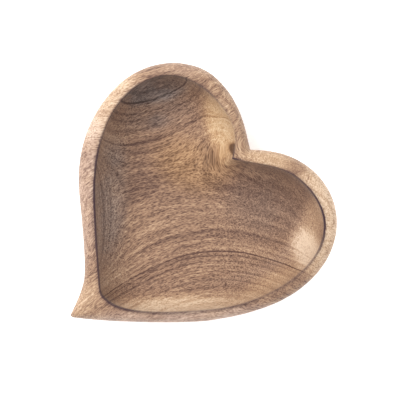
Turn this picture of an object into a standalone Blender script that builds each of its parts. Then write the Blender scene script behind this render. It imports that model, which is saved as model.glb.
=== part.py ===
# Heart-shaped dish carved from one block of wood: a rounded outside, a hollow with a crisp lip,
# and a tip that swings to one side.
# Metres, +Z up. It rests on Z = 0, the lobes point to +Y and the tip to -Y.

from collections import namedtuple
from math import cos, pi, radians, sin

import bmesh
import bpy
import numpy as np

# Overall sizes
WIDTH = 0.203
LENGTH = 0.204
HEIGHT = 0.042

# Wood left between the outline and the lip of the hollow, seen from above
RIM_LOBES = 0.0122
RIM_LEFT_SIDE = 0.0104
RIM_LEFT_FLANK = 0.0118
RIM_RIGHT_SIDE = 0.0098
RIM_RIGHT_FLANK = 0.0085
FLARE_LAND = 0.013  # where the left flank turns down to the tip
TIP_LAND = 0.031
NOTCH_LAND = 0.014

# Cross section of the hollow
FLOOR = 0.0095  # wood under the middle of the hollow
DISHING = 0.0015  # the middle of the floor lies this much below its edge
WALL_RUN = 0.024  # from the lip to the foot of the wall, seen from above
LIP_EASE = 0.0006  # the lip's edge is eased by this much
CORNER_RADIUS = 0.008  # of the hollow's corner at the tip, at the lip
COVE_RADIUS = 0.016  # the same corner, down at the floor

# Cross section of the outside
FOOT_INSET = 0.017  # the flat foot keeps this far inside the outline
FOOT_SLOPE = radians(25)  # the outside leaves the foot this steeply
SHOULDER_DROP = 0.011  # the outside is widest this far below the rim
ROUND_OVER = 0.0085  # from the outline in to where the rim's top levels out
RIM_FALL = 0.0005  # the rim's top falls this much from the lip to the round-over

# How finely the surface is faceted
STATION_PITCH = 0.0062
BELLY_STEPS = 5
ROUND_STEPS = 5
WALL_STEPS = 7
FLOOR_STEPS = 4
CURVE_STEPS = 24
HALVINGS = 26

WOOD_COLOUR = (0.36, 0.225, 0.13, 1.0)
WOOD_ROUGHNESS = 0.55

# The outline is drawn in millimetres at this size, with the tip's end at y = 0, and stretched to
# WIDTH and LENGTH. MIDDLE is a point of the hollow that sees the whole outline.
DRAWN_WIDTH = 203
DRAWN_LENGTH = 204
MIDDLE = (0, 112)

# A stop is a point that a heart-shaped curve passes through: its place, the curve's heading in
# degrees into and out of it, and how far the curve keeps to each heading. The stops run
# counter-clockwise from the tip.
Stop = namedtuple("Stop", "x y heading_in heading_out reach_in reach_out")
OUTLINE = (
    Stop(-13, 0, 287, 31, 18, 16),  # tip
    Stop(68, 70, 51, 51, 25, 23),  # right flank
    Stop(101.5, 145, 90, 90, 31, 34),  # right side
    Stop(48, 201, 181, 181, 29, 23),  # right lobe
    Stop(3.5, 181.5, 218, 147, 10, 12),  # notch
    Stop(-52, 204, 181, 181, 27, 24),  # left lobe
    Stop(-101.5, 145, 270, 270, 34, 34),  # left side
    Stop(-66, 70, 318, 318, 26, 14),  # left flank
    Stop(-22, 25, 296, 296, 11, 8),  # flare, where the left flank turns down to the tip
)

# The lip has one stop inside each stop of the outline: the wood between the two, how far the lip's
# stop is shifted along the outline, its headings in degrees, and its reaches as drawn.
LipStop = namedtuple("LipStop", "wood shift heading_in heading_out reach_in reach_out")
LIP = (
    LipStop(TIP_LAND, 0.001, 0, 0, 6, 18),
    LipStop(RIM_RIGHT_FLANK, 0, 47, 47, 27, 28),
    LipStop(RIM_RIGHT_SIDE, 0, 89, 89, 21, 26),
    LipStop(RIM_LOBES, 0.003, 181, 181, 31, 18),
    LipStop(NOTCH_LAND, 0.006, 207, 115, 16, 13),
    LipStop(RIM_LOBES, -0.002, 181, 181, 33, 24),
    LipStop(RIM_LEFT_SIDE, -0.001, 270, 270, 29, 27),
    LipStop(RIM_LEFT_FLANK, 0, 313, 313, 20, 15),
    LipStop(FLARE_LAND, -0.002, 318, 318, 10, 5),
)


def heading_vector(degrees):
    return np.array([cos(radians(degrees)), sin(radians(degrees))])


def stretched(vector):
    """A drawn vector in millimetres, at the dish's real size in metres."""
    return np.array(vector) * (WIDTH / DRAWN_WIDTH, LENGTH / DRAWN_LENGTH)


def placed(x, y):
    """A drawn point, counted from the middle of the dish's length."""
    return stretched((x, y - DRAWN_LENGTH / 2))


def unit(vector):
    return vector / np.linalg.norm(vector)


def arms(stop):
    """A stop's arms in and out, as vectors at the dish's real size."""
    arm_in = stretched(heading_vector(stop.heading_in) * stop.reach_in)
    arm_out = stretched(heading_vector(stop.heading_out) * stop.reach_out)
    return arm_in, arm_out


def outline_stops():
    """(place, arm in, arm out) of each stop of the outline."""
    return [(placed(stop.x, stop.y), *arms(stop)) for stop in OUTLINE]


def lip_stops(outline):
    """(place, arm in, arm out) of each stop of the lip."""
    stops = []
    for (place, arm_in, arm_out), inner in zip(outline, LIP):
        along = unit(unit(arm_in) + unit(arm_out))
        across = np.array([-along[1], along[0]])
        lip_place = place + across * inner.wood + along * inner.shift
        stops.append((lip_place, *arms(inner)))
    return stops


def spans(stops):
    """The four control points of each Bezier span, from one stop to the next."""
    for (start, _, arm_out), (end, arm_in, _) in zip(stops, stops[1:] + stops[:1]):
        yield start, start + arm_out, end - arm_in, end


def bezier(span, steps):
    """Points along a span, without its end."""
    t = np.linspace(0, 1, steps, endpoint=False)[:, None]
    a, b, c, d = span
    return a * (1 - t) ** 3 + 3 * b * t * (1 - t) ** 2 + 3 * c * t * t * (1 - t) + d * t**3


def curve_through(stops):
    return np.vstack([bezier(span, CURVE_STEPS) for span in spans(stops)])


def station_angles(stops, middle):
    """The directions of the stations seen from the middle, evenly spaced along the outline."""
    points = []
    for span in spans(stops):
        line = bezier(span, CURVE_STEPS)
        length = np.linalg.norm(np.diff(line, axis=0), axis=1).sum()
        points.append(bezier(span, max(2, round(length / STATION_PITCH))))
    return bearings(np.vstack(points), middle)


def distances(points, curve):
    """How far each point is from a closed curve."""
    step = np.roll(curve, -1, axis=0) - curve
    off = points[:, None] - curve
    share = np.clip((off * step).sum(-1) / (step * step).sum(-1), 0, 1)
    return np.linalg.norm(off - share[..., None] * step, axis=-1).min(axis=1)


def bearings(points, middle):
    off = points - middle
    return np.arctan2(off[:, 1], off[:, 0])


class Fan:
    """Rays from the middle of the hollow. Every ring has one point on each ray."""

    def __init__(self, angles, middle):
        self.angles = angles
        self.middle = middle
        self.rays = np.stack([np.cos(angles), np.sin(angles)], axis=1)

    def points(self, reach):
        return self.middle + self.rays * reach[:, None]

    def reach(self, curve):
        """How far out each ray meets the curve."""
        radii = np.linalg.norm(curve - self.middle, axis=1)
        return np.interp(self.angles, bearings(curve, self.middle), radii, period=2 * pi)

    def halve(self, near, far, still_near):
        """The reach on each ray, between near and far, up to which a test holds."""
        for _ in range(HALVINGS):
            half = (near + far) / 2
            held = still_near(self.points(half))
            near = np.where(held, half, near)
            far = np.where(held, far, half)
        return near

    def moved_in(self, curve, amount):
        outer = self.reach(curve)
        return self.halve(outer * 0, outer, lambda points: distances(points, curve) > amount)

    def inset(self, curve, amount, radius):
        """The curve moved in by an amount, with its corners rounded to a radius: it is moved in by
        that much more, and back out."""
        fine = Fan(bearings(curve, self.middle), self.middle)
        core = fine.points(fine.moved_in(curve, amount + radius))
        near = self.reach(core)
        return self.halve(near, self.reach(curve), lambda points: distances(points, core) < radius)


def ring(fan, reach, height):
    flat = fan.points(reach)
    heights = np.broadcast_to(height, len(flat))
    return np.column_stack([flat, heights])


def outside_rings(fan, outline, lip):
    """From the edge of the foot up over the belly and the round-over, to near the lip."""
    belly = HEIGHT - SHOULDER_DROP
    rings = []
    for step in range(BELLY_STEPS):
        turn = FOOT_SLOPE + (pi / 2 - FOOT_SLOPE) * step / BELLY_STEPS
        inset = FOOT_INSET * (1 - sin(turn)) / (1 - sin(FOOT_SLOPE))
        height = belly * (1 - cos(turn) / cos(FOOT_SLOPE))
        rings.append(ring(fan, fan.inset(outline, inset, inset / 2), height))
    edge = fan.reach(outline)
    rings.append(ring(fan, edge, belly))
    # Where the rim is narrow, the round-over is squeezed to leave a little flat inside it.
    room = edge - fan.reach(lip) - 3 * LIP_EASE
    squeeze = np.minimum(1, room / (edge - fan.inset(outline, ROUND_OVER, ROUND_OVER / 2)))
    for step in range(1, ROUND_STEPS + 1):
        turn = pi / 2 * step / ROUND_STEPS
        inset = ROUND_OVER * (1 - cos(turn))
        run = (edge - fan.inset(outline, inset, inset / 2)) * squeeze
        rings.append(ring(fan, edge - run, belly + (SHOULDER_DROP - RIM_FALL) * sin(turn)))
    return rings


def inside_rings(fan, lip):
    """From the eased lip down the wall and over the floor, without the middle point."""
    lip_reach = fan.reach(lip)
    rings = [ring(fan, lip_reach + LIP_EASE, HEIGHT), ring(fan, lip_reach, HEIGHT - LIP_EASE)]
    depth = HEIGHT - FLOOR - DISHING - LIP_EASE
    for step in range(1, WALL_STEPS + 1):
        turn = pi / 2 * step / WALL_STEPS
        inset = WALL_RUN * (1 - cos(turn))
        radius = min(CORNER_RADIUS + inset, COVE_RADIUS)
        reach = fan.inset(lip, inset, radius)
        rings.append(ring(fan, reach, HEIGHT - LIP_EASE - depth * sin(turn)))
    for step in range(1, FLOOR_STEPS):
        share = 1 - step / FLOOR_STEPS
        rings.append(ring(fan, reach * share, FLOOR + DISHING * share**2))
    return rings


def loft(mesh, rings, bottom, top):
    """One closed skin: quads between the rings, and a fan of triangles at each end."""
    rows = [[mesh.verts.new(point) for point in points] for points in rings]
    base = mesh.verts.new(bottom)
    floor = mesh.verts.new(top)
    count = len(rows[0])
    for n in range(count):
        m = (n + 1) % count
        for low, high in zip(rows, rows[1:]):
            mesh.faces.new((low[n], low[m], high[m], high[n]))
        mesh.faces.new((base, rows[0][m], rows[0][n]))
        mesh.faces.new((floor, rows[-1][n], rows[-1][m]))


def wood_material():
    material = bpy.data.materials.new("wood")
    material.use_nodes = True
    shader = material.node_tree.nodes["Principled BSDF"]
    shader.inputs["Base Color"].default_value = WOOD_COLOUR
    shader.inputs["Roughness"].default_value = WOOD_ROUGHNESS
    shader.inputs["Metallic"].default_value = 0
    material.diffuse_color = WOOD_COLOUR
    return material


def make_dish(collection):
    middle = placed(*MIDDLE)
    outline_drawn = outline_stops()
    outline = curve_through(outline_drawn)
    lip = curve_through(lip_stops(outline_drawn))
    fan = Fan(station_angles(outline_drawn, middle), middle)

    mesh = bmesh.new()
    rings = outside_rings(fan, outline, lip) + inside_rings(fan, lip)
    loft(mesh, rings, (*middle, 0), (*middle, FLOOR))
    data = bpy.data.meshes.new("carved_dish")
    mesh.to_mesh(data)
    mesh.free()
    data.shade_smooth()
    data.set_sharp_from_angle(angle=radians(40))
    data.materials.append(wood_material())
    dish = bpy.data.objects.new("carved_dish", data)
    collection.objects.link(dish)


def main():
    for item in list(bpy.data.objects):
        bpy.data.objects.remove(item, do_unlink=True)
    collection = bpy.data.collections.new("heart_dish")
    bpy.context.scene.collection.children.link(collection)
    make_dish(collection)


main()
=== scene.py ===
import math

import bpy
import numpy as np
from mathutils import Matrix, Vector, noise


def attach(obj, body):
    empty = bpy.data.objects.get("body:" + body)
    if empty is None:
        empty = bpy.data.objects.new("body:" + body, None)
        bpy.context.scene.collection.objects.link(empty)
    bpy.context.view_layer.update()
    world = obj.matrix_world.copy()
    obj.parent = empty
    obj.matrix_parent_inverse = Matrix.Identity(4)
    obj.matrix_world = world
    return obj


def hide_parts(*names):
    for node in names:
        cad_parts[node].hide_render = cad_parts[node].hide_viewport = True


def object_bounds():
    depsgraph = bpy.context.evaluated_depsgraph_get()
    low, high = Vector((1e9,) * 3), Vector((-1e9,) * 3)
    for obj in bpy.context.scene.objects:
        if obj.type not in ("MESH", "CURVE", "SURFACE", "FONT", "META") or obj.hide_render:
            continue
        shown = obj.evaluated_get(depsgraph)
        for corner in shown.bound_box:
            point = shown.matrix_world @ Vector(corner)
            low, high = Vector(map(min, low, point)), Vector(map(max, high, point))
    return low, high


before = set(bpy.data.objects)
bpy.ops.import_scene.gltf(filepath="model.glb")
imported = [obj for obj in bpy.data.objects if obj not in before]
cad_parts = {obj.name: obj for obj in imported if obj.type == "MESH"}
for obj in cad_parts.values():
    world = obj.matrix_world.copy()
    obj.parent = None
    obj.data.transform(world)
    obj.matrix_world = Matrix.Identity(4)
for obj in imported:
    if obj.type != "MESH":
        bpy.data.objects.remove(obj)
cadLow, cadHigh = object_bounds()

mm = 0.001
boardTurn = math.radians(42)  # the grain runs this far round from +X
print("frame loaded, CAD nodes:", len(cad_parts))

# The dish's shape, in millimetres. Width, length and height come from the frame.
dish = {
    "drawnWidth": 203,
    "drawnLength": 204,
    "middle": (0, 112),  # a point of the hollow that sees the whole outline
    # stops of the outline, counter-clockwise from the tip:
    # x, y, heading in, heading out, reach in, reach out
    "outline": (
        (-13, 0, 287, 31, 18, 16),
        (68, 70, 51, 51, 25, 23),
        (101.5, 145, 90, 90, 31, 34),
        (48, 201, 181, 181, 29, 23),
        (3.5, 181.5, 218, 147, 10, 12),
        (-52, 204, 181, 181, 27, 24),
        (-101.5, 145, 270, 270, 34, 34),
        (-66, 70, 318, 318, 26, 14),
        (-22, 25, 296, 296, 11, 8),
    ),
    # stops of the lip inside them: wood between, shift along, then as above
    "lip": (
        (31, 1, 0, 0, 6, 18),
        (8.5, 0, 47, 47, 27, 28),
        (9.8, 0, 89, 89, 21, 26),
        (12.2, 3, 181, 181, 31, 18),
        (14, 6, 207, 115, 16, 13),
        (12.2, -2, 181, 181, 33, 24),
        (10.4, -1, 270, 270, 29, 27),
        (11.8, 0, 313, 313, 20, 15),
        (13, -2, 318, 318, 10, 5),
    ),
    "floor": 9.5,
    "dishing": 1.5,
    "wallRun": 24,
    "cornerRadius": 8,
    "coveRadius": 16,
    "footInset": 17,
    "footSlope": 25,  # degrees
    "footEase": 0.7,
    "shoulderDrop": 11,
    "roundOver": 8.5,
    "rimFall": 0.5,
    "lipEase": 0.45,
    "tipRound": 0.7,
    "farOut": -99.0,  # what a spot under the dish counts as, in millimetres inside the lip
    "farIn": 80.0,  # and the middle of the floor
    "justInside": 0.02,  # and the first ring of the wall, so that it counts as the hollow's
}

# The carver's passes, left after sanding: how deep, how much of that off the floor and the
# outside, and their waves (length along, length up, strength). They fade out near the lip
# and towards the foot, over this distance.
passes = {"depth": 0.22, "flatShare": 0.8, "waves": ((17, 13, 1.0), (7, 7, 0.5)),
          "fade": 4, "atLip": 0.12, "edge": 1}

# How many stations go round the dish, and how many rings each stretch of the section takes. The
# spreads bunch the rings towards the foot's edge and towards the lip.
fineness = {"stations": 560, "foot": 14, "belly": 22, "round": 20, "rimTop": 7, "ease": 5,
            "wall": 44, "floor": 38, "curve": 30, "halvings": 17, "insets": 10, "wallInsets": 14,
            "footSpread": 0.8, "footEnd": 0.985, "wallSpread": 1.15}


def unitAt(degrees):
    return np.array([math.cos(math.radians(degrees)), math.sin(math.radians(degrees))])


# a drawn vector, at the size of the frame's dish, in millimetres
def stretched(vector):
    size = (cadHigh - cadLow) / mm
    return np.array(vector, float) * (size.x / dish["drawnWidth"], size.y / dish["drawnLength"])


def placed(x, y):
    return stretched((x, y - dish["drawnLength"] / 2))


def arms(headingIn, headingOut, reachIn, reachOut):
    return stretched(unitAt(headingIn) * reachIn), stretched(unitAt(headingOut) * reachOut)


def outlineStops():
    return [(placed(x, y), *arms(*curve)) for x, y, *curve in dish["outline"]]


def lipStops(outline):
    stops = []
    for (place, armIn, armOut), (wood, shift, *curve) in zip(outline, dish["lip"]):
        along = armIn / np.linalg.norm(armIn) + armOut / np.linalg.norm(armOut)
        along = along / np.linalg.norm(along)
        across = np.array([-along[1], along[0]])
        stops.append((place + across * wood + along * shift, *arms(*curve)))
    return stops


# points along the Bezier spans between the stops
def curveThrough(stops, steps):
    t = np.linspace(0, 1, steps, endpoint=False)[:, None]
    points = []
    for (start, _, armOut), (end, armIn, _) in zip(stops, stops[1:] + stops[:1]):
        first, second = start + armOut, end - armIn
        points.append(start * (1 - t) ** 3 + 3 * first * t * (1 - t) ** 2
                      + 3 * second * t * t * (1 - t) + end * t**3)
    return np.vstack(points)


def distances(points, curve):
    step = np.roll(curve, -1, axis=0) - curve
    off = points[:, None] - curve
    share = np.clip((off * step).sum(-1) / (step * step).sum(-1), 0, 1)
    return np.linalg.norm(off - share[..., None] * step, axis=-1).min(axis=1)


def bearings(points, middle):
    off = points - middle
    return np.arctan2(off[:, 1], off[:, 0])


# the directions of stations evenly spaced along a closed curve, seen from the middle
def evenBearings(curve, count, middle):
    closed = np.vstack([curve, curve[:1]])
    length = np.concatenate([[0], np.cumsum(np.linalg.norm(np.diff(closed, axis=0), axis=1))])
    along = np.linspace(0, length[-1], count, endpoint=False)
    points = np.stack([np.interp(along, length, closed[:, n]) for n in range(2)], axis=1)
    return bearings(points, middle)


# rays from the middle of the hollow, one for each station
class Fan:
    def __init__(self, angles, middle):
        self.angles, self.middle = angles, middle
        self.rays = np.stack([np.cos(angles), np.sin(angles)], axis=1)

    def points(self, reach):
        return self.middle + self.rays * reach[:, None]

    def reach(self, curve):
        radii = np.linalg.norm(curve - self.middle, axis=1)
        return np.interp(self.angles, bearings(curve, self.middle), radii, period=2 * math.pi)

    # the furthest reach, between near and far, whose point is still near
    def halve(self, near, far, stillNear):
        for _ in range(fineness["halvings"]):
            half = (near + far) / 2
            held = stillNear(self.points(half))
            near, far = np.where(held, half, near), np.where(held, far, half)
        return near

    # the curve moved in, with its corners rounded by going further in and back out
    def inset(self, curve, amount, radius):
        fine = Fan(bearings(curve, self.middle), self.middle)
        outer = fine.reach(curve)
        deep = amount + radius
        core = fine.points(fine.halve(outer * 0, outer, lambda spots: distances(spots, curve) > deep))
        return self.halve(self.reach(core), self.reach(curve), lambda spots: distances(spots, core) < radius)

    # a function from an inset to the reaches of the curve moved in by it
    def insets(self, curve, most, radiusAt, keys):
        amounts = most * np.linspace(0, 1, keys) ** 1.5  # closer together near the curve
        reaches = np.array([self.inset(curve, amount, radiusAt(amount)) for amount in amounts])

        def at(amount):
            place = np.interp(amount, amounts, np.arange(keys))
            low = min(int(place), keys - 2)
            return reaches[low] + (reaches[low + 1] - reaches[low]) * (place - low)

        return at


# The rings of the skin from the middle of the foot, out, up, over the rim and down to the
# middle of the floor: (reaches, heights, millimetres inside the lip) for each.
def dishRings(outline, lip, fan):
    height = (cadHigh.z - cadLow.z) / mm
    belly = height - dish["shoulderDrop"]
    foot, ease, lipEase = dish["footInset"], dish["footEase"], dish["lipEase"]
    outer = fan.insets(outline, foot, lambda inset: dish["tipRound"] + inset / 2, fineness["insets"])
    edge, lipReach = outer(0), fan.reach(lip)
    rings = []

    def add(reach, level, inside=dish["farOut"]):
        rings.append((reach, np.broadcast_to(level, reach.shape), np.broadcast_to(inside, reach.shape)))

    for step in range(1, fineness["foot"]):
        add(outer(foot) * (step / fineness["foot"]) ** fineness["footSpread"] * fineness["footEnd"], 0)
    # the foot's edge is eased in three short steps
    add(outer(foot) - ease, 0)
    add(outer(foot) - 0.3 * ease, 0.08 * ease)
    add(outer(foot - 0.3 * ease), 0.4 * ease)
    slope = math.radians(dish["footSlope"])
    for step in range(1, fineness["belly"]):
        turn = slope + (math.pi / 2 - slope) * step / fineness["belly"]
        level = belly * (1 - math.cos(turn) / math.cos(slope))
        if level > ease:
            add(outer(foot * (1 - math.sin(turn)) / (1 - math.sin(slope))), level)
    add(edge, belly)

    # where the rim is narrow, the round-over is squeezed
    room = edge - lipReach - 4 * lipEase
    squeeze = np.minimum(1, room / (edge - outer(dish["roundOver"])))
    for step in range(1, fineness["round"] + 1):
        turn = math.pi / 2 * step / fineness["round"]
        reach = edge - (edge - outer(dish["roundOver"] * (1 - math.cos(turn)))) * squeeze
        add(reach, belly + (dish["shoulderDrop"] - dish["rimFall"]) * math.sin(turn), lipReach - reach)
    top = lipReach + lipEase
    for step in range(1, fineness["rimTop"] + 1):
        share = step / fineness["rimTop"]
        place = reach + (top - reach) * share
        add(place, height - dish["rimFall"] * (1 - share) ** 2, lipReach - place)
    for step in range(1, fineness["ease"]):
        turn = math.pi / 2 * step / fineness["ease"]
        place = top - lipEase * math.sin(turn)
        add(place, height - lipEase * (1 - math.cos(turn)), lipReach - place)

    def coveAt(inset):
        return min(dish["cornerRadius"] + inset, dish["coveRadius"])

    wall = fan.insets(lip, dish["wallRun"], coveAt, fineness["wallInsets"])
    depth = height - dish["floor"] - dish["dishing"] - lipEase
    # the rounding moves the lip's corner a little, which is made up for over the first rings
    settle = lipReach - wall(0)
    for step in range(fineness["wall"] + 1):
        turn = math.pi / 2 * (step / fineness["wall"]) ** fineness["wallSpread"]
        inset = dish["wallRun"] * (1 - math.cos(turn))
        reach = wall(inset) + settle * math.exp(-inset / 2)
        add(reach, height - lipEase - depth * math.sin(turn), inset + dish["justInside"])
    for step in range(1, fineness["floor"]):
        share = 1 - step / fineness["floor"]
        level = dish["floor"] + dish["dishing"] * share**2
        add(reach * share, level, dish["wallRun"] + reach * (1 - share))
    return rings


# (along the grain, across it) of a point, in millimetres
def boardPlace(x, y):
    along = x * math.cos(boardTurn) + y * math.sin(boardTurn)
    across = -x * math.sin(boardTurn) + y * math.cos(boardTurn)
    return along, across


# The colouring of this one board. A patch of paler or darker wood, or of painted light or shade where marked,
# is: side of the lip, place along and across the grain, half length, half width, turn in degrees, tone,
# greyness (below nothing: golden).
# The darkening of the lip, a scorch with painted shade along the lip's edge, is: bearing round the hollow
# from the grain's direction, strength.
colouring = {
    "patches": (
        ("hollow", -50, 18, 13, 55, -4, 0.07, 0.75),  # shaded heartwood up the left wall
        ("hollow", -15, 101, 26, 9, 14, -0.03, 1.1),  # the oldest wood, high on the left
        ("hollow", -20, 86, 34, 14, 8, 0.0, 0.3),
        ("hollow", -14, 78, 10, 6, 12, -0.10, 0.3),
        ("hollow", -22, 46, 26, 26, 12, -0.14, 0.0),
        ("hollow", 70, 20, 34, 26, -20, -0.09, 0.25),
        ("hollow", 43.5, 57, 2.8, 4.6, 20, -1.2, 0.0),  # a dark patch beside the notch: painted shadow of the undercut corner under the lip there
        ("hollow", 35, 74, 12, 28, 14, 0.34, -1.1),  # pale wood beside the notch
        ("hollow", 12, 46, 30, 20, -20, -0.01, -0.9),
        ("hollow", 103, 6, 9, 20, -15, 0.22, -0.1),
        ("hollow", 98, -18, 11, 16, 20, 0.50, 0.15),  # sapwood on the right wall, partly a painted highlight where that wall faces the key light
        ("hollow", 5, -62, 60, 10, 2, 0.46, -0.15),  # sapwood along the lower wall
        ("hollow", 72, -44, 26, 9, 28, 0.16, -0.3),
        ("hollow", -46, -42, 10, 14, -30, 0.10, 0.1),
        ("rim", -64, 30, 12, 60, -4, 0.14, 0.4),
        ("rim", -50, 95, 32, 20, 50, 0.38, 0.0),
        ("rim", 68, 50, 20, 10, -10, 0.28, -0.3),
        ("rim", 10, -68, 90, 10, 3, 0.12, 0.5),
        ("rim", -67, -55, 16, 18, 0, 0.20, -0.1),
        ("rim", 38, 88, 12, 34, 20, 0.16, 0.0),
        ("rim", 108, 10, 18, 50, 0, 0.42, 0.0),
        ("rim", 10, 118, 30, 10, 0, 0.10, 0.2),
    ),
    # these strengths also paint shade at the lip's edge; the peak at 48 to 51 is painted shadow in the corner
    # beside the notch
    "scorchAndShade": (
        (0, 1), (12, 0.9), (28, 0.6), (36, 0.35), (43, 0.3), (48, 1), (51, 0.9), (54, 0.2), (60, 0.0),
        (72, 0.3), (79, 0.55), (85, 0.3), (104, 0.4), (111, 0.7), (122, 0.5), (136, 0.55), (143, 0.9),
        (165, 1), (195, 0.9), (232, 0.85), (240, 0.8), (247, 0.6), (262, 0.45), (290, 0.45), (307, 0.55),
        (318, 0.35), (334, 0.45), (345, 0.7), (354, 1),
    ),
}


def patchTones(along, across, inHollow):
    tone = np.zeros(len(along))
    grey = np.zeros(len(along))
    for side, midAlong, midAcross, halfLength, halfWidth, turn, amount, greyness in colouring["patches"]:
        c, s = unitAt(turn)
        u = ((along - midAlong) * c + (across - midAcross) * s) / halfLength
        v = (-(along - midAlong) * s + (across - midAcross) * c) / halfWidth
        weight = np.exp(-((u * u + v * v) ** 2)) * (inHollow if side == "hollow" else 1 - inHollow)
        tone += amount * weight
        grey += greyness * weight
    return tone, grey


# how strongly the lip is darkened round the hollow: scorch and painted shade at its edge
def scorchAndShadeAt(along, across):
    middleAlong, middleAcross = boardPlace(*placed(*dish["middle"]))
    bearing = np.degrees(np.arctan2(across - middleAcross, along - middleAlong))
    places, strengths = zip(*colouring["scorchAndShade"])
    return np.interp(bearing, places, strengths, period=360)


# moves the spots by the shallow hollows that the carver's passes leave
def carvePasses(spots, inside, middle):
    marks = np.array([sum(strength * noise.noise(Vector((x / wave, y / wave, z / rise)))
                          for wave, rise, strength in passes["waves"]) for x, y, z in spots])
    fade = np.clip(np.abs(inside) / passes["fade"], passes["atLip"], 1)
    fade *= np.clip(spots[:, 2] / passes["fade"], 0, 1)
    push = passes["depth"] * marks * fade
    away = spots[:, :2] - middle
    away /= np.maximum(np.linalg.norm(away, axis=1), 1e-6)[:, None]
    onWall = (inside > 0) & (inside < dish["wallRun"])
    steep = np.where(onWall, 1 - inside.clip(0, dish["wallRun"]) / dish["wallRun"], 0.0)
    spots[:, :2] += away * (push * steep)[:, None]
    shallow = np.abs(push) * passes["flatShare"]
    spots[:, 2] -= np.where(inside > 0, shallow * (1 - steep), 0)
    spots[:, :2] -= away * (shallow * (inside < -passes["edge"]))[:, None]


def makeDish():
    drawn = outlineStops()
    outline = curveThrough(drawn, fineness["curve"])
    lip = curveThrough(lipStops(drawn), fineness["curve"])
    middle = placed(*dish["middle"])
    fan = Fan(evenBearings(outline, fineness["stations"], middle), middle)
    rings = dishRings(outline, lip, fan)
    print("outline and lip drawn:", len(rings), "rings")

    spots = np.vstack([np.column_stack([fan.points(reach), level]) for reach, level, _ in rings])
    inside = np.concatenate([ring[2] for ring in rings])
    carvePasses(spots, inside, middle)

    # the rings are joined by quads, and the foot and the floor are closed at their middles
    low, count = len(spots), fineness["stations"]
    vertices = np.vstack([spots, [(*middle, 0)], [(*middle, dish["floor"])]]) * mm
    index = np.arange(low).reshape(len(rings), count)
    after = np.roll(index, -1, axis=1)
    quads = np.stack([index[:-1], after[:-1], after[1:], index[1:]], axis=-1).reshape(-1, 4)
    foot = [(low, after[0, n], index[0, n]) for n in range(count)]
    floor = [(low + 1, index[-1, n], after[-1, n]) for n in range(count)]
    mesh = bpy.data.meshes.new("dishWood")
    mesh.from_pydata(vertices.tolist(), [], quads.tolist() + foot + floor)
    mesh.shade_smooth()

    # what the wood needs to know of each point
    inside = np.append(inside, [dish["farOut"], dish["farIn"]])
    along, across = boardPlace(vertices[:, 0] / mm, vertices[:, 1] / mm)
    tone, grey = patchTones(along, across, 1.0 * (inside > 0))
    drop = (cadHigh.z - cadLow.z - vertices[:, 2]) / mm
    fromLip = np.where(inside > 0, inside + drop, inside)  # across the rim, or in and down the wall
    # the lip's darkening is a scorch together with painted shade at the lip's edge
    scorchAndShade = scorchAndShadeAt(along, across)
    for name, values in (("fromLip", fromLip), ("scorchAndShade", scorchAndShade), ("tone", tone), ("grey", grey)):
        mesh.attributes.new(name, "FLOAT", "POINT").data.foreach_set("value", values.astype(np.float32))
    piece = bpy.data.objects.new("dishWood", mesh)
    bpy.context.scene.collection.objects.link(piece)
    return piece


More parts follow.
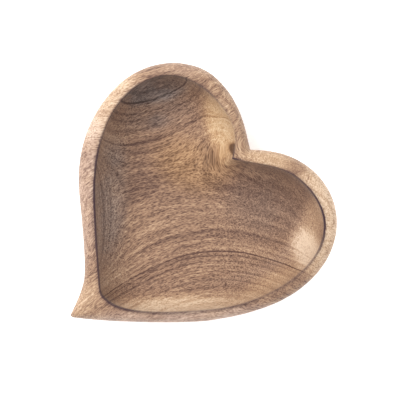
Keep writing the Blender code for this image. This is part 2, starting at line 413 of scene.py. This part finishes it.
# The wood, in millimetres along the grain, across it and up. The finish is at the end.
wood = {
    # the heart of the tree ran above the dish, along the grain
    "pithAcross": 32,
    "pithHeight": 60,
    # The grain bows across by this much times the square of the way along it from the middle.
    # Each pair is for below and above these two places across.
    "bow": (0.0041, 0.0024),
    "bowMiddle": (37, 24),
    "bowPlaces": (-35, 50),
    # high on the left the grain runs off at a slant instead: from here, by this much, and its curve
    "slantFrom": -20,
    "slant": -0.30,
    "slantCurve": -0.004,
    "slantBegins": (34, 66),
    # far from the heart's line the rings stand upright, so they cross the wall without turning down it
    "uprightBelow": (-20, -44),
    "uprightAbove": (20, 45),
    "uprightMost": 0.8,
    "floorLevel": 12.0,
    # beside the notch the rings lie flat, so they curl round the bulge there
    "curlMiddle": (40, 66, 0),
    "curlReach": 34,
    "curl": 1.3,
    # on the right the fibres also run down into the wood
    "dive": 0.006,
    "diveStart": 5,
    # how the fibres stray: noise scale, most along, across and up
    "wander": (0.018, (10, 3, 3)),
    "ripple": (0.09, (2.0, 1.4, 1.4)),
    # noise on the rings: scale along, scale across them, offset, detail, roughness
    "bandNoise": (0.004, 0.115, 0.0, 3, 0.55),
    "lineNoise": (0.010, 0.60, 4.0, 3, 0.6),
    # strong growth rings: radius, half width, weight above the heart's line, weight below it
    "strongRings": (
        (70.5, 0.32, 0.3, 1.0),
        (72.6, 0.28, 0.2, 0.30),
        (82.0, 0.42, 1.05, 0.4),
        (67.0, 0.50, 0.40, 0.2),
        (76.0, 0.45, 0.2, 0.3),
        (87.0, 0.50, 0.2, 0.4),
        (60.5, 0.50, 0.5, 0.3),
    ),
    "ringEdge": (1.9, 0.2),  # in half widths
    "ringWobble": (0.09, 0.7),  # noise scale, how far
    "ringFading": (0.03, (0.30, 0.55, 0.25, 1.0)),
    "ringOnRim": (-3, 0, 0.35, 1.0),  # a strong ring shows less on the rim
    "heartLine": (-4, 4),
    # the oldest wood lies past this ring, left of here
    "lensRing": (81.7, 82.9),
    "lensAlong": (30, 10),
    "lensEdge": (-0.5, 0.5),
    # dashes of open and of filled pores: length, width, offset, size
    "darkPores": (3.0, 0.80, 0.0, 0.50),
    "longPores": (7.5, 1.1, 20.0, 0.42),
    "palePores": (3.0, 0.95, 40.0, 0.46),
    "poreEdge": 0.65,
    # noise drawn out along the fibres: length, width, offset, detail, roughness
    "fibres": (5.0, 0.62, 7.0, 3, 0.6),
    "streaks": (26, 1.9, 17.0, 2, 0.5),
    # how light the wood is, and how much each thing above adds to that
    "baseTone": 0.40,
    "weights": {"bands": 0.42, "lines": 0.56, "fibres": 0.60, "streaks": 0.44, "darkPores": -0.20,
                "longPores": -0.16, "palePores": 0.08, "lens": -0.05, "strong": -0.46},
    # each cast of the wood, from its darkest tone to its palest
    "brown": ((0.0, (0.095, 0.046, 0.034)), (0.20, (0.185, 0.105, 0.071)), (0.42, (0.33, 0.194, 0.123)),
              (0.64, (0.51, 0.335, 0.212)), (0.90, (0.74, 0.56, 0.40))),
    "greyed": ((0.0, (0.060, 0.042, 0.038)), (0.20, (0.130, 0.098, 0.088)), (0.42, (0.245, 0.188, 0.165)),
               (0.64, (0.42, 0.33, 0.285)), (0.90, (0.68, 0.58, 0.52))),
    "golden": ((0.0, (0.13, 0.062, 0.030)), (0.20, (0.25, 0.135, 0.066)), (0.42, (0.42, 0.24, 0.125)),
               (0.64, (0.60, 0.39, 0.215)), (0.90, (0.76, 0.58, 0.38))),
    "blushed": ((0.0, (0.20, 0.12, 0.10)), (0.20, (0.33, 0.22, 0.18)), (0.42, (0.48, 0.34, 0.285)),
                (0.64, (0.64, 0.48, 0.42)), (0.90, (0.82, 0.70, 0.63))),
    "blushFrom": (-1.0, -3.5),
    "greyNoise": (0.05, (0.35, 0.62, 0.6, 1.0)),
    # the dark line at the lip, a scorch with painted shade where the wall drops under the lip, in millimetres
    # inside it, with ticks and a stain on the rim
    "scorchAndShadeColour": (0.042, 0.017, 0.026, 1),
    "scorchAndShadeWobble": (0.16, 1.2),
    "scorchAndShadeIn": (6.5, 3.0),
    "scorchAndShadeOut": (-1.6, -0.75),
    "tickFibres": (0.58, 0.42),
    "tickReach": (-4.5, -0.2, 0.0, 0.55),
    "stainReach": (-4.0, 0.0, 0.0, 0.28),
    # the finish
    "roughness": (0.3, 0.7, 0.48, 0.6),
    "poreRoughness": 0.15,
    "fibreRelief": 0.35,
    "poreRelief": -0.8,
    "reliefStrength": 0.5,
    "reliefDepth": 0.0002,
    "specular": 0.28,
    "sheen": 0.12,
    "sheenRoughness": 0.45,
    "sheenTint": (1, 0.93, 0.88, 1),
}


def addNode(tree, kind, inputs=(), **settings):
    node = tree.nodes.new(kind)
    for name, value in settings.items():
        setattr(node, name, value)
    for key, value in dict(inputs).items():
        if isinstance(value, bpy.types.NodeSocket):
            tree.links.new(value, node.inputs[key])
        else:
            node.inputs[key].default_value = value
    return node


def calc(tree, operation, *values, clamp=False):
    return addNode(tree, "ShaderNodeMath", enumerate(values), operation=operation, use_clamp=clamp).outputs[0]


def minus(tree, first, second):
    return calc(tree, "SUBTRACT", first, second)


def times(tree, first, second, **settings):
    return calc(tree, "MULTIPLY", first, second, **settings)


# the base, with a share of something added
def plusShare(tree, base, value, share):
    return calc(tree, "MULTIPLY_ADD", value, share, base)


def vectors(tree, operation, *values, output="Vector"):
    return addNode(tree, "ShaderNodeVectorMath", enumerate(values), operation=operation).outputs[output]


def joined(tree, x, y, z):
    return addNode(tree, "ShaderNodeCombineXYZ", {0: x, 1: y, 2: z}).outputs[0]


def noiseOf(tree, vector, scale, detail=2.0, roughness=0.5, output="Fac"):
    inputs = {"Vector": vector, "Scale": scale, "Detail": detail, "Roughness": roughness}
    return addNode(tree, "ShaderNodeTexNoise", inputs).outputs[output]


def between(tree, value, low, high, outLow=0.0, outHigh=1.0):
    inputs = {0: value, 1: low, 2: high, 3: outLow, 4: outHigh}
    return addNode(tree, "ShaderNodeMapRange", inputs, interpolation_type="SMOOTHSTEP").outputs[0]


def blend(tree, share, first, second):
    return addNode(tree, "ShaderNodeMix", {0: share, 6: first, 7: second}, data_type="RGBA").outputs[2]


def attribute(tree, name):
    return addNode(tree, "ShaderNodeAttribute", attribute_name=name).outputs["Fac"]


# the colour of each tone of the wood, from a list of (tone, colour)
def castOf(tree, tone, stops):
    ramp = addNode(tree, "ShaderNodeValToRGB", {"Fac": tone})
    elements = ramp.color_ramp.elements
    while len(elements) < len(stops):
        elements.new(0.5)
    for element, (position, colour) in zip(elements, stops):
        element.position, element.color = position, (*colour, 1)
    return ramp.outputs[0]


# a value made unsteady by up to half of this much either way
def wobbled(tree, board, value, scale, amount):
    return plusShare(tree, minus(tree, value, amount / 2), noiseOf(tree, board, scale), amount)


# a place strayed a little from where it is on the board
def strayed(tree, board, vector, scale, amounts):
    push = vectors(tree, "SUBTRACT", noiseOf(tree, board, scale, output="Color"), (0.5, 0.5, 0.5))
    return vectors(tree, "MULTIPLY_ADD", push, amounts, vector)


# along the fibres, across them from the heart's line, and up
def fibreFrame(tree, vector):
    along, across, up = addNode(tree, "ShaderNodeSeparateXYZ", {0: vector}).outputs
    amount, middle = (between(tree, across, *wood["bowPlaces"], *wood[name]) for name in ("bow", "bowMiddle"))
    fromMiddle = minus(tree, along, middle)
    bow = times(tree, times(tree, fromMiddle, fromMiddle), amount)
    run = minus(tree, along, wood["slantFrom"])
    meet = wood["bow"][1] * (wood["slantFrom"] - wood["bowMiddle"][1]) ** 2
    slope = calc(tree, "MULTIPLY_ADD", run, wood["slantCurve"], wood["slant"])
    slant = calc(tree, "MULTIPLY_ADD", slope, run, meet)
    slanted = between(tree, across, *wood["slantBegins"])
    bow = plusShare(tree, bow, slanted, minus(tree, slant, bow))
    return along, calc(tree, "ADD", minus(tree, across, wood["pithAcross"]), bow), up


# how far a point is from the heart of the tree, so which growth ring it is in
def ringRadius(tree, board, across, up):
    upright = calc(tree, "MAXIMUM", between(tree, across, *wood["uprightBelow"]),
                   between(tree, across, *wood["uprightAbove"], 0.0, wood["uprightMost"]))
    ringUp = plusShare(tree, up, upright, minus(tree, wood["floorLevel"], up))
    radius = vectors(tree, "LENGTH", joined(tree, 0.0, across, minus(tree, ringUp, wood["pithHeight"])),
                     output="Value")
    off = vectors(tree, "MULTIPLY", vectors(tree, "SUBTRACT", board, wood["curlMiddle"]), (1, 1, 0))
    off = vectors(tree, "LENGTH", off, output="Value")
    curl = between(tree, off, wood["curlReach"], wood["curlReach"] / 2, 0.0, wood["curl"])
    above = calc(tree, "MAXIMUM", minus(tree, up, wood["floorLevel"]), 0.0)
    return plusShare(tree, radius, above, curl)


def ringNoise(tree, along, radius, alongScale, ringScale, offset, detail, roughness):
    cell = joined(tree, times(tree, along, alongScale), times(tree, radius, ringScale), offset)
    return noiseOf(tree, cell, 1.0, detail, roughness)


def strongRings(tree, board, radius, pastHeart, fromLip):
    strong = 0.0
    for ring, width, weightAbove, weightBelow in wood["strongRings"]:
        off = calc(tree, "ABSOLUTE", minus(tree, radius, ring))
        weight = calc(tree, "MULTIPLY_ADD", pastHeart, weightAbove - weightBelow, weightBelow)
        line = times(tree, between(tree, off, *(width * edge for edge in wood["ringEdge"])), weight)
        strong = calc(tree, "MAXIMUM", strong, line)
    scale, fading = wood["ringFading"]
    strong = times(tree, strong, between(tree, noiseOf(tree, board, scale), *fading))
    return times(tree, strong, between(tree, fromLip, *wood["ringOnRim"]))


# a place measured in lengths and widths of a fibre
def fibreCell(tree, fibre, length, width, offset):
    along, across, up = fibre
    return joined(tree, times(tree, along, 1 / length), times(tree, across, 1 / width),
                  calc(tree, "MULTIPLY_ADD", up, 1 / width, offset))


def poreDashes(tree, fibre, length, width, offset, size):
    cell = fibreCell(tree, fibre, length, width, offset)
    near = addNode(tree, "ShaderNodeTexVoronoi", {"Vector": cell, "Scale": 1.0}, feature="F1")
    return between(tree, near.outputs["Distance"], size, size * wood["poreEdge"])


def fibreNoise(tree, fibre, length, width, offset, detail, roughness):
    return noiseOf(tree, fibreCell(tree, fibre, length, width, offset), 1.0, detail, roughness)


# everything that makes the wood lighter or darker, by name
def figureOf(tree, board, fromLip):
    wandering = strayed(tree, board, board, *wood["wander"])
    along, across, up = fibreFrame(tree, wandering)
    radius = ringRadius(tree, board, across, up)
    pastHeart = between(tree, across, *wood["heartLine"])
    unsteady = wobbled(tree, board, radius, *wood["ringWobble"])
    figure = {name: ringNoise(tree, along, radius, *wood[name[:-1] + "Noise"]) for name in ("bands", "lines")}
    figure["strong"] = strongRings(tree, board, unsteady, pastHeart, fromLip)

    along, across, up = fibreFrame(tree, strayed(tree, board, wandering, *wood["ripple"]))
    lens = times(tree, pastHeart, between(tree, along, *wood["lensAlong"]))
    lens = times(tree, lens, between(tree, unsteady, *wood["lensRing"]))
    figure["lens"] = times(tree, lens, between(tree, fromLip, *wood["lensEdge"]))
    pastDive = calc(tree, "MAXIMUM", minus(tree, along, wood["diveStart"]), 0.0)
    fibre = along, across, plusShare(tree, up, times(tree, pastDive, pastDive), wood["dive"])
    for name in ("darkPores", "longPores", "palePores"):
        figure[name] = poreDashes(tree, fibre, *wood[name])
    for name in ("fibres", "streaks"):
        figure[name] = fibreNoise(tree, fibre, *wood[name])
    return figure


def toneOf(tree, figure):
    tone = calc(tree, "ADD", wood["baseTone"], attribute(tree, "tone"))
    for name, weight in wood["weights"].items():
        value = figure[name]
        if name in ("bands", "lines", "fibres", "streaks"):
            value = minus(tree, value, 0.5)  # noise is half on average, so it lightens as much as it darkens
        tone = plusShare(tree, tone, value, weight)
    return tone


# greyed heartwood in the hollow, a pinkish bloom on the rim, golden sapwood in both
def castWood(tree, board, tone, fromLip):
    casts = ("brown", "greyed", "golden", "blushed")
    brown, greyed, golden, blushed = (castOf(tree, tone, wood[name]) for name in casts)
    grey = attribute(tree, "grey")
    bloom = blend(tree, between(tree, fromLip, *wood["blushFrom"]), greyed, blushed)
    scale, patchy = wood["greyNoise"]
    share = times(tree, grey, between(tree, noiseOf(tree, board, scale), *patchy), clamp=True)
    return blend(tree, times(tree, grey, -1.0, clamp=True), blend(tree, share, brown, bloom), golden)


# the dark line at the lip, a scorch with painted shade along its edge, bleeding a little onto the rim
def scorchAndShadeShare(tree, board, fibres, fromLip):
    uneven = wobbled(tree, board, fromLip, *wood["scorchAndShadeWobble"])
    ticks = times(tree, between(tree, fibres, *wood["tickFibres"]), between(tree, uneven, *wood["tickReach"]))
    bleeding = calc(tree, "MAXIMUM", ticks, between(tree, uneven, *wood["stainReach"]))
    outside = calc(tree, "MAXIMUM", between(tree, uneven, *wood["scorchAndShadeOut"]), bleeding)
    burnAndShade = times(tree, between(tree, uneven, *wood["scorchAndShadeIn"]), outside)
    return times(tree, burnAndShade, attribute(tree, "scorchAndShade"))


def makeWood():
    material = bpy.data.materials.new("carvedWood")
    material.use_nodes = True
    tree = material.node_tree
    shader = tree.nodes["Principled BSDF"]

    # millimetres along the grain, across it, and up
    place = addNode(tree, "ShaderNodeTexCoord").outputs["Object"]
    board = addNode(tree, "ShaderNodeMapping", {"Vector": place, "Rotation": (0, 0, -boardTurn),
                                                "Scale": (1 / mm,) * 3}).outputs[0]
    fromLip = attribute(tree, "fromLip")
    figure = figureOf(tree, board, fromLip)
    fibres, pores = figure["fibres"], figure["darkPores"]
    colour = castWood(tree, board, toneOf(tree, figure), fromLip)
    # the dark lip line: scorch and painted shade where the wall drops under the lip
    colour = blend(tree, scorchAndShadeShare(tree, board, fibres, fromLip), colour, wood["scorchAndShadeColour"])
    tree.links.new(colour, shader.inputs["Base Color"])

    rough = plusShare(tree, between(tree, fibres, *wood["roughness"]), pores, wood["poreRoughness"])
    tree.links.new(rough, shader.inputs["Roughness"])
    relief = plusShare(tree, times(tree, pores, wood["poreRelief"]), fibres, wood["fibreRelief"])
    bump = addNode(tree, "ShaderNodeBump", {"Height": relief, "Strength": wood["reliefStrength"],
                                            "Distance": wood["reliefDepth"]})
    tree.links.new(bump.outputs[0], shader.inputs["Normal"])
    shader.inputs["Specular IOR Level"].default_value = wood["specular"]
    shader.inputs["Sheen Weight"].default_value = wood["sheen"]
    shader.inputs["Sheen Roughness"].default_value = wood["sheenRoughness"]
    shader.inputs["Sheen Tint"].default_value = wood["sheenTint"]
    return material


studio = {
    "floorReach": 3.0,
    "floorDrop": 0.0002,
    "floorColour": (0.93, 0.93, 0.93, 1),
    "floorRoughness": 0.9,
    "floorGlow": 0.5,  # the table is lit from within, so that no hard shadow falls on it
    "white": (1, 1, 1, 1),
    "worldStrength": 0.70,
    # each lamp: place along the grain, across it and up, in metres, then size and power
    "lamps": {"keyLight": ((-0.75, 0.55, 1.15), 0.9, 17), "fillLight": ((0.9, -0.5, 1.1), 1.4, 5)},
    "lens": 135,
    "sensor": 36,
    "cameraAim": (18.6, 19.4, 31),  # along, across, up, in millimetres
    "viewWidth": 296,  # what the picture's width covers at the aim, in millimetres
    "clipping": (0.01, 20),
}


# a place given along and across the grain, in the frame's axes
def fromBoard(along, across, up):
    c, s = math.cos(boardTurn), math.sin(boardTurn)
    return Vector((along * c - across * s, along * s + across * c, up))


def makeFloor():
    reach = studio["floorReach"]
    mesh = bpy.data.meshes.new("studioFloor")
    corners = [(-reach, -reach, 0), (reach, -reach, 0), (reach, reach, 0), (-reach, reach, 0)]
    mesh.from_pydata(corners, [], [(0, 1, 2, 3)])
    floor = bpy.data.objects.new("studioFloor", mesh)
    floor.location.z = cadLow.z - studio["floorDrop"]
    bpy.context.scene.collection.objects.link(floor)
    material = bpy.data.materials.new("palePaper")
    material.use_nodes = True
    shader = material.node_tree.nodes["Principled BSDF"]
    shader.inputs["Base Color"].default_value = studio["floorColour"]
    shader.inputs["Roughness"].default_value = studio["floorRoughness"]
    shader.inputs["Emission Color"].default_value = studio["white"]
    shader.inputs["Emission Strength"].default_value = studio["floorGlow"]
    mesh.materials.append(material)


def makeLamp(name, place, size, power):
    data = bpy.data.lights.new(name, "AREA")
    data.shape = "DISK"
    data.size = size
    data.energy = power
    lamp = bpy.data.objects.new(name, data)
    lamp.location = fromBoard(*place)
    lamp.rotation_euler = (-lamp.location).to_track_quat("-Z", "Y").to_euler()
    bpy.context.scene.collection.objects.link(lamp)


def makeWorld():
    world = bpy.data.worlds.new("studioWorld")
    world.use_nodes = True
    background = world.node_tree.nodes["Background"]
    background.inputs["Color"].default_value = studio["white"]
    background.inputs["Strength"].default_value = studio["worldStrength"]
    bpy.context.scene.world = world


def makeCamera():
    data = bpy.data.cameras.new("studioCamera")
    data.lens = studio["lens"]
    data.sensor_width = studio["sensor"]
    data.clip_start, data.clip_end = studio["clipping"]
    camera = bpy.data.objects.new("studioCamera", data)
    aim = fromBoard(*[value * mm for value in studio["cameraAim"]])
    distance = studio["viewWidth"] * mm * studio["lens"] / studio["sensor"]
    camera.location = aim + Vector((0, 0, distance))
    camera.rotation_euler = (0, 0, boardTurn)
    bpy.context.scene.collection.objects.link(camera)
    bpy.context.scene.camera = camera


makeCamera()
makeWorld()
makeFloor()
for lampName, settings in studio["lamps"].items():
    makeLamp(lampName, *settings)
bpy.context.scene.view_settings.view_transform = "Standard"
print("studio ready:", len(studio["lamps"]), "lamps")

dishPiece = makeDish()
print("dish shaped:", len(dishPiece.data.polygons), "faces")
dishPiece.data.materials.append(makeWood())
print("wood made:", len(dishPiece.data.materials[0].node_tree.nodes), "shader nodes")

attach(dishPiece, "root")
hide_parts("carved_dish")
